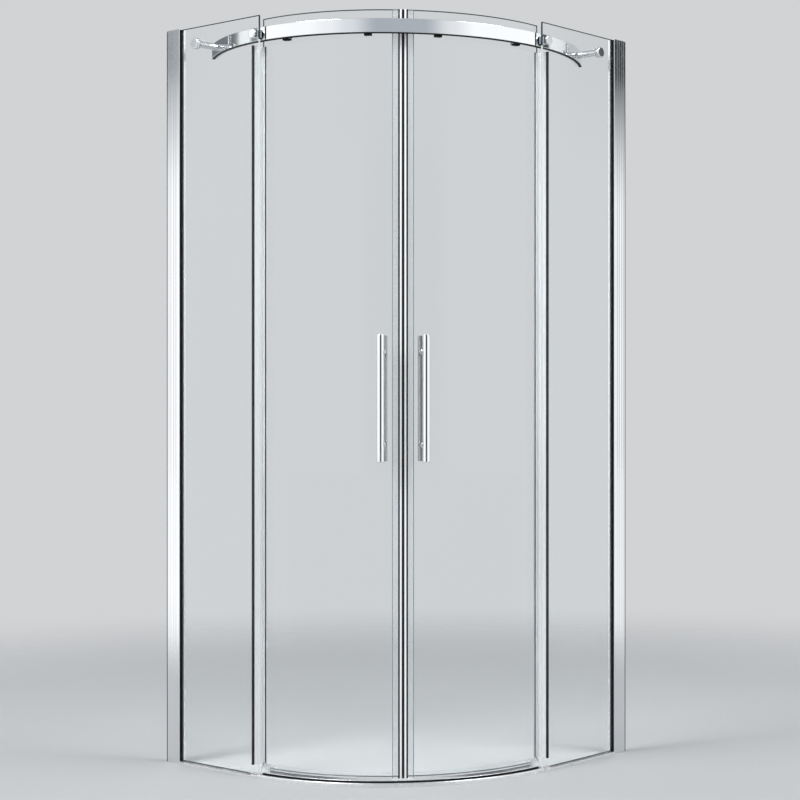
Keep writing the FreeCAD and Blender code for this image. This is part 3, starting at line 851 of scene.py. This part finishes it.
def makeWallTapeShade(side):
    # two black strips behind the profile's edges: sealing tape, and painted shade for the dark line along
    # the wall side
    low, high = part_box("left_wall_channel")
    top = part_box("left_glass_profile")[1].z
    middle = (low.y + high.y) / 2
    flat = rectangle(tapeAndShade["seat"], tapeAndShade["depth"], tapeAndShade["innerHalf"], tapeAndShade["half"])
    strips = []
    for way in (1, -1):
        section = sideLoop(side, [(low.x + u, middle + way * v) for u, v in flat])
        strips.append(straightMesh("tapeAndShade", section, low.z, top, finish["rubber"]))
    joinPiece(side + "WallTape", strips, "enclosure_frame")


for side in sides:
    makeProfile(side)
    makeWallTapeShade(side)
makeWallScrews()
print("wall profiles made")


# Handles, posts and fixings: turned parts, repeated on points

handle = {
    "edge": 0.0016, "reach": 0.0405, "barR": 0.010, "sink": 0.0012, "barSteps": 72, "postSteps": 48,
    "postR": 0.006, "neckR": 0.0066, "neckRise": 0.0009, "collarR": 0.0095, "collarT": 0.003,
    "collarRound": 0.0009, "washer": 0.0007, "washerR": 0.00912,
    # the inner bars take the darker chrome, which is painted shade
    "bars": {"outer": "chrome", "inner": "shadedChrome"},
}


def barMesh(name, radius, length):
    e, end = handle["edge"], length / 2
    bow = [(radius - e + e * math.sin(t), -end + e - e * math.cos(t)) for t in bowTurns]
    outline = [(0, -end)] + bow + [(r, -h) for r, h in reversed(bow)] + [(0, end)]
    return turnedMesh(name, outline, handle["barSteps"])


def makeHandles(side):
    body, angle = side + "_door", doorAngles["handle"]
    for which, label in handle["bars"].items():
        node, name = side + "_" + which + "_handle", side + which.title() + "Bar"
        low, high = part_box(node)
        bar, place = barMesh("bar", (high.x - low.x) / 2, high.z - low.z), (low + high) / 2
        spreadPiece(name, bar, [(place, upWay)], label, body, [node])
    node, way = side + "_handle_posts", outWay(side, angle)
    postLow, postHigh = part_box(node)
    r, c, t, w = handle["postR"], handle["collarR"], handle["collarT"], handle["washer"]
    heights = (postLow.z + r, postHigh.z - r)
    face = (pane["doorOuter"] - pane["doorInner"]) / 2
    seat, e = face + w, handle["collarRound"]
    barFace = face + handle["reach"] - handle["barR"] + handle["sink"]
    half = [
        (r, 0), (r, face), (c, seat), (c, seat + t - e), (c - e, seat + t), (handle["neckR"], seat + t),
        (r, seat + t + handle["neckRise"]), (r, barFace), (0, barFace)]
    outline = [(p, -h) for p, h in reversed(half)] + half[1:]
    post = turnedMesh("post", outline, handle["postSteps"])
    places = [(onArc(side, angle, doorMiddle, z), way) for z in heights]
    spreadPiece(side + "HandlePosts", post, places, "chrome", body, [node])
    ring = turnedMesh("postWasher", rectangle(r, handle["washerR"], 0, w), handle["postSteps"])
    faces = ((pane["doorOuter"] + pane["play"], way), (pane["doorInner"] - pane["play"], -way))
    places = [(onArc(side, angle, radius, z), out) for radius, out in faces for z in heights]
    spreadPiece(side + "PostWashers", ring, places, "rubber", body)


cap = {
    "standoffR": 0.015, "standoffT": 0.012, "edgeR": 0.013, "edgeT": 0.007, "round": 0.0024,
    "chamfer": 0.0008, "steps": 72,
    "washer": 0.0008, "washerIn": 0.0006, "washerBore": 0.0045, "washerSteps": 56,
}


def capMesh(name, radius, thickness):
    e, base, c = cap["round"], cap["washer"], cap["chamfer"]
    bow = [(radius - e + e * math.cos(t), thickness - e + e * math.sin(t)) for t in bowTurns]
    outline = [(0, base), (radius - c, base), (radius, base + c)] + bow + [(0, thickness)]
    return turnedMesh(name, outline, cap["steps"])


def makeFixings():
    low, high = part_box("standoff_caps")
    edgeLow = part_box("edge_caps")[0]
    z = (low.z + high.z) / 2
    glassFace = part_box("left_fixed_glass")[0].y
    body, wayOut = "enclosure_frame", Vector((0, -1, 0))
    for name, node, x, radius, thickness in (
            ("standoffCaps", "standoff_caps", low.x, cap["standoffR"], cap["standoffT"]),
            ("edgeCaps", "edge_caps", edgeLow.x, cap["edgeR"], cap["edgeT"])):
        place = Vector((x + radius, glassFace, z))
        places = [(place, wayOut), (mirrored(place), mirrored(wayOut))]
        disc = capMesh(name, radius, thickness)
        spreadPiece(name, disc, places, "chrome", body, [node])
        flat = rectangle(cap["washerBore"], radius - cap["washerIn"], 0, cap["washer"])
        ring = turnedMesh("capWasher", flat, cap["washerSteps"])
        spreadPiece(name + "Washers", ring, places, "rubber", body)


for side in sides:
    makeHandles(side)
makeFixings()
print("handles and fixings made")


# Rollers: wheel, bearing and dome nut

roller = {
    "track": 0.515, "width": 0.009, "radius": 0.0117, "bore": 0.0032, "hubR": 0.0072, "crown": 0.0009,
    "rimShare": 0.85, "hubShare": 0.8, "groove": 0.0005, "grooveShares": (0.3, 0.2), "tyreSteps": 64,
    "shieldRadii": (0.0042, 0.0046, 0.0062, 0.0064), "raceShare": 0.72, "shieldShare": 0.62,
    "bearingSteps": 56,
}
domeNut = {
    "seat": 0.4886, "radius": 0.011, "height": 0.010, "steps": 64, "top": 0.95,
    # shares of the nut's radius and height
    "flangeShares": ((0.96, 0), (1, 0.04), (1, 0.2), (0.97, 0.24), (0.84, 0.24)),
    "domeShares": (0.82, 0.45, 0.5), "domeTurns": (0, 0.25, 0.5, 0.75, 1.0, 1.25),
}


def tyreMesh():
    w, r, c, hub = roller["width"] / 2, roller["radius"], roller["crown"], roller["hubR"]
    shoulder, floor = (w * share for share in roller["grooveShares"])
    half = [
        (hub, w * roller["hubShare"]), (r * roller["rimShare"], w), (r - c, w), (r, w - c), (r, shoulder),
        (r - roller["groove"], floor)]
    return turnedMesh("tyre", bothEnds(half), roller["tyreSteps"])


def bearingMesh():
    w, bore, hub = roller["width"] / 2, roller["bore"], roller["hubR"]
    race, shield = w * roller["raceShare"], w * roller["shieldShare"]
    a, b, d, e = roller["shieldRadii"]
    half = [(bore, race), (a, race), (b, shield), (d, shield), (e, race), (hub, race)]
    return turnedMesh("bearing", bothEnds(half), roller["bearingSteps"])


def nutMesh():
    h, r = domeNut["height"], domeNut["radius"]
    wide, foot, rise = domeNut["domeShares"]
    dome = [(r * wide * math.cos(t), h * foot + h * rise * math.sin(t)) for t in domeNut["domeTurns"]]
    flange = [(r * across, h * up) for across, up in domeNut["flangeShares"]]
    return turnedMesh("domeNut", [(0, 0)] + flange + dome + [(0, h * domeNut["top"])], domeNut["steps"])


def makeRollers(side):
    tyre, rings = tyreMesh(), bearingMesh()
    z = joints["left_inner_roller_spin"]["pos_m"][2]
    spots = {which: (doorAngles[which], outWay(side, doorAngles[which])) for which in ("inner", "outer")}
    for which, (angle, way) in spots.items():
        body = side + "_" + which + "_roller"
        place = [(onArc(side, angle, roller["track"], z), way)]
        spreadPiece(body + "Tyre", tyre, place, "nylon", body, [body + "_wheel"])
        spreadPiece(body + "Bearing", rings, place, "steel", body)
    places = [(onArc(side, angle, domeNut["seat"], z), -way) for angle, way in spots.values()]
    name, node = side + "DomeNuts", side + "_roller_nuts"
    spreadPiece(name, nutMesh(), places, "chrome", side + "_door", [node])


pad = {
    "inner": 0.5005, "outer": 0.5146, "half": 0.0096, "wall": 0.0005, "footTop": 1.934, "footLow": 1.930,
    "round": 0.0012, "roundSteps": 4,
}


def makeLiftPads(side):
    # a moulded shoe round the end of each hanger's foot
    w, r, top = pad["wall"], pad["round"], pad["footTop"]
    flat = rectangle(-pad["half"], pad["half"], 0, pad["outer"] - pad["inner"])
    flat = roundLoop(flat, [0, 0, r, r], pad["roundSteps"])
    shoe = straightMesh("shoe", flat, pad["footLow"] - w - top, -w, finish["rubber"])
    meshes = []
    for which in ("inner", "outer"):
        place, way = onArc(side, doorAngles[which], pad["inner"], top), outWay(side, doorAngles[which])
        copy = shoe.copy()
        turn = Matrix((way.cross(upWay), way, upWay)).transposed().to_4x4()
        copy.transform(Matrix.Translation(place) @ turn)
        meshes.append(copy)
    joinPiece(side + "LiftPads", meshes, side + "_door")


for side in sides:
    makeRollers(side)
    makeLiftPads(side)
print("rollers made")


# Stage: a pale floor that fades into the backdrop, soft lamps, the camera

boardTones = {
    "plain": (0.64, 0.65, 0.665), "white": (1.25, 1.26, 1.27), "card": (1.2, 1.21, 1.22),
    "sheet": (1.1, 1.11, 1.12), "paper": (1.06, 1.07, 1.08), "black": (0.06, 0.066, 0.075),
    "slot": (0.025, 0.03, 0.035), "slate": (0.27, 0.295, 0.32), "cloud": (1.06, 1.08, 1.10),
    "mist": (0.86, 0.89, 0.93), "dusk": (0.48, 0.52, 0.57), "shade": (0.50, 0.54, 0.59),
    "dawn": (0.94, 0.96, 0.98),
}
stage = {
    "floor": (0.50, 0.505, 0.51), "floorShade": 0.96, "floorScale": 1.5, "floorRoughness": 0.6,
    "fadeStart": 1.7, "fadeEnd": 3.8, "floorSize": 6.0, "floorDrop": 0.0005,
    "backdrop": boardTones["plain"], "zenith": (0.55, 0.575, 0.60), "worldStrength": 1.0,
    # the studio by compass bearing, near the floor, at head height and higher up: boards and gaps
    "lowBoards": (
        (-180, "plain"), (-158, "plain"), (-149, "white"), (-127, "white"), (-112, "plain"), (34, "plain"),
        (44, "paper"), (64, "paper"), (76, "plain"), (180, "plain")),
    "boards": (
        (-180, "plain"), (-164, "plain"), (-149, "white"), (-72, "white"), (-62, "black"), (-24, "black"),
        (-14, "card"), (40, "card"), (48, "paper"), (62, "paper"), (78, "plain"), (180, "plain")),
    "highBoards": (
        (-180, "plain"), (-162, "plain"), (-156, "card"), (-148, "card"), (-144.5, "slate"),
        (-139.9, "slate"), (-138.8, "white"), (-104, "card"), (-88, "cloud"), (-76, "mist"), (-58, "dusk"),
        (-32, "shade"), (-13, "dawn"), (2, "card"), (51.0, "card"), (52.4, "slot"), (57.5, "slot"),
        (60.5, "sheet"), (76, "sheet"), (86, "plain"), (180, "plain")),
    # gaps between the boards, each only at its own level: a colour, then how much of it by bearing
    "gaps": {
        "crown": ((0.17, 0.19, 0.21), ((-164, 1), (-158, 0), (147, 0), (152, 1))),
        "ceiling": ((0.05, 0.06, 0.07), ((98, 0), (112, 1), (158, 1), (172, 0)))},
    # where each level takes over from the one below it, by the sine of the elevation
    "levels": {
        "lowBoards": (-0.19, -0.10), "boards": (-0.0445, -0.034), "highBoards": (0.10, 0.195),
        "crown": (0.165, 0.181), "ceiling": (0.24, 0.29), "zenith": (0.4, 0.85)},
}
view = {"place": (3.4881, -3.6768, 0.990), "heading": 128.442, "lens": 81.77, "sensor": 36.0, "shiftX": -0.2}


def makeFloor():
    mesh = bpy.data.meshes.new("floor")
    s, z = stage["floorSize"], -stage["floorDrop"]
    mesh.from_pydata([(-s, -s, z), (s, -s, z), (s, s, z), (-s, s, z)], [], [(0, 1, 2, 3)])
    material, tree, shader = newMaterial("paleFloor")
    shader.inputs["Roughness"].default_value = stage["floorRoughness"]
    shaded = tuple(stage["floorShade"] * c for c in stage["floor"])
    useTones(tree, shader, stage["floor"], shaded, stage["floorScale"])
    place = addNode(tree, "ShaderNodeTexCoord")
    far = addNode(tree, "ShaderNodeVectorMath", {0: place.outputs["Object"]}, operation="LENGTH")
    fade = mapRange(tree, far.outputs["Value"], stage["fadeStart"], stage["fadeEnd"], kind="SMOOTHSTEP")
    mixClear(tree, fade, shader)
    mesh.materials.append(material)
    obj = addObject("floor", mesh)


def bearingRamp(tree, share, stops, interpolation):
    # stops are (bearing in degrees, colour)
    ramp = addNode(tree, "ShaderNodeValToRGB", {0: share})
    ramp.color_ramp.interpolation = interpolation
    elements = ramp.color_ramp.elements
    for k, (angle, colour) in enumerate(stops):
        stop = elements[k] if k < 2 else elements.new(1.0)      # a new ramp has two stops already
        stop.position, stop.color = (angle + 180) / 360, colour + (1,)
    return ramp.outputs[0]


def makeWorld():
    world = bpy.data.worlds.new("studio")
    bpy.context.scene.world = world
    world.use_nodes = True
    tree = world.node_tree
    back = nodeOf(tree, "BACKGROUND")
    place = addNode(tree, "ShaderNodeTexCoord")
    parts = addNode(tree, "ShaderNodeSeparateXYZ", {0: place.outputs["Generated"]})
    turn = calc(tree, "ARCTAN2", parts.outputs["Y"], parts.outputs["X"])
    share = mapRange(tree, turn, -math.pi, math.pi)
    tones = {"zenith": stage["zenith"] + (1,)}
    for key in ("lowBoards", "boards", "highBoards"):
        stops = [(angle, boardTones[tone]) for angle, tone in stage[key]]
        tones[key] = bearingRamp(tree, share, stops, "EASE")
    for key, (slate, shares) in stage["gaps"].items():
        gap = bearingRamp(tree, share, [(angle, (value,) * 3) for angle, value in shares], "LINEAR")
        tones[key] = mixTones(tree, gap, tones["highBoards"], slate + (1,))
    level = stage["backdrop"] + (1,)
    for key, (low, high) in stage["levels"].items():
        rise = mapRange(tree, parts.outputs["Z"], low, high, kind="SMOOTHSTEP")
        level = mixTones(tree, rise, level, tones[key])
    tree.links.new(level, back.inputs["Color"])
    back.inputs["Strength"].default_value = stage["worldStrength"]


lamps = {
    "keyLamp": {"place": (-0.7, -3.9, 4.8), "aim": (0.1, -0.1, 0.9), "size": 2.2, "power": 170.0},
    "fillLamp": {"place": (3.9, 0.7, 4.8), "aim": (0.1, -0.1, 0.9), "size": 2.4, "power": 120.0},
}


def lookAlong(obj, way):
    obj.rotation_euler = way.to_track_quat("-Z", "Y").to_euler()


def makeLamps():
    for name, spec in lamps.items():
        data = bpy.data.lights.new(name, "AREA")
        data.shape, data.size, data.energy = "DISK", spec["size"], spec["power"]
        obj = addObject(name, data)
        obj.location = spec["place"]
        lookAlong(obj, Vector(spec["aim"]) - Vector(spec["place"]))


def makeCamera():
    data = bpy.data.cameras.new("camera")
    data.lens, data.sensor_width, data.shift_x = view["lens"], view["sensor"], view["shiftX"]
    obj = addObject("camera", data)
    obj.location = view["place"]
    heading = math.radians(view["heading"])
    lookAlong(obj, Vector((math.cos(heading), math.sin(heading), 0)))
    bpy.context.scene.camera = obj


makeFloor()
makeWorld()
makeLamps()
makeCamera()
bpy.context.scene.view_settings.view_transform = "Standard"
print("stage set")
